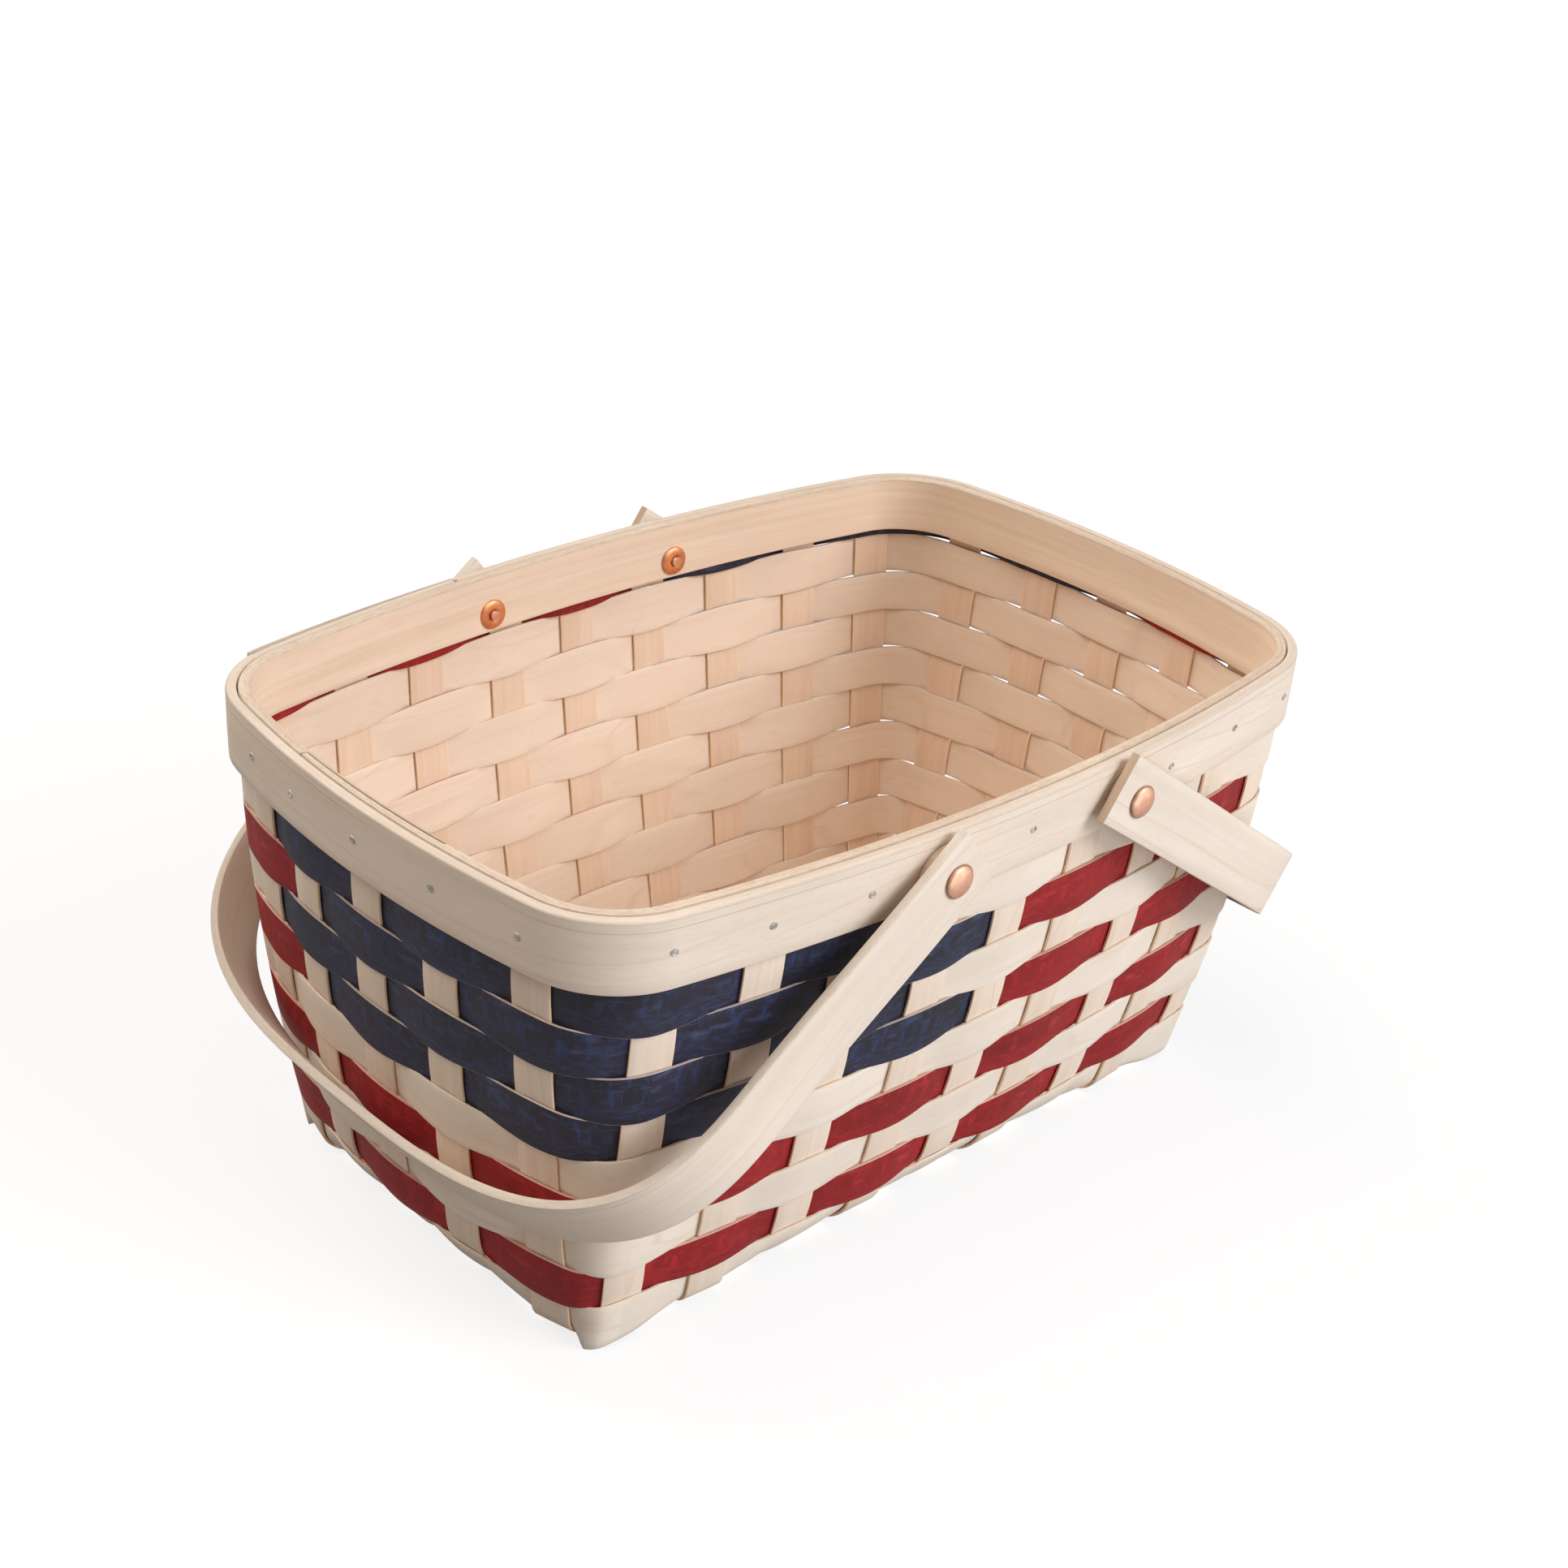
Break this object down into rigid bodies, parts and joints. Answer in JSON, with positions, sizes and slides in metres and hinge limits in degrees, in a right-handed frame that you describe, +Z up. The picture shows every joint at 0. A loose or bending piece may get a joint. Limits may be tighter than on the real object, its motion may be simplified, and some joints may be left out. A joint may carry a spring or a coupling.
{
  "type": "market basket",
  "caption": "Woven splint market basket with striped stained weavers, double rim bands and two riveted swing handles that fold down round its ends.",
  "frame": {"origin": "on the floor under the base, at the underside of the weave's middle crossing", "axes": "+X along the long side, the front long side faces -Y, +Z up"},
  "size_m": [0.4686, 0.3212, 0.2265],
  "materials": {
    "natural_splint": "pale natural maple splint, matt",
    "red_stained_splint": "red stain rubbed into the outer face, satin",
    "rim_wood": "pale bent wood strip, smooth and matt",
    "copper": "dull pinkish copper"
  },
  "bodies": {
    "basket": {"weaver_row_0": "red_stained_splint", "weaver_row_1": "natural_splint", "weaver_row_2": "red_stained_splint", "weaver_row_3": "natural_splint", "weaver_row_4": "red_stained_splint", "weaver_row_5": "natural_splint", "weaver_row_6": "red_stained_splint", "weaver_row_7": "natural_splint", "weaver_row_8": "red_stained_splint", "weaver_row_9": "natural_splint", "cross_splint_1": "natural_splint", "cross_splint_2": "natural_splint", "cross_splint_3": "natural_splint", "cross_splint_4": "natural_splint", "cross_splint_5": "natural_splint", "cross_splint_6": "natural_splint", "cross_splint_7": "natural_splint", "cross_splint_8": "natural_splint", "cross_splint_9": "natural_splint", "long_splint_1": "natural_splint", "long_splint_2": "natural_splint", "long_splint_3": "natural_splint", "long_splint_4": "natural_splint", "long_splint_5": "natural_splint", "outer_rim_band": "rim_wood", "inner_rim_band": "rim_wood", "left_front_rivet": "copper", "left_front_burr": "copper", "left_front_spacer": "rim_wood", "left_back_rivet": "copper", "left_back_burr": "copper", "left_back_spacer": "rim_wood", "right_front_rivet": "copper", "right_front_burr": "copper", "right_front_spacer": "rim_wood", "right_back_rivet": "copper", "right_back_burr": "copper", "right_back_spacer": "rim_wood"},
    "left handle": {"left_handle": "rim_wood"},
    "right handle": {"right_handle": "rim_wood"}
  },
  "joints": [
    {"name": "left handle swing", "type": "hinge", "parent": "basket", "child": "left handle", "pos_m": [-0.0528, 0, 0.2035], "axis": [0, 1, 0], "range_deg": [0, 137]},
    {"name": "right handle swing", "type": "hinge", "parent": "basket", "child": "right handle", "pos_m": [0.0562, 0, 0.2035], "axis": [0, -1, 0], "range_deg": [0, 135.5]}
  ]
}
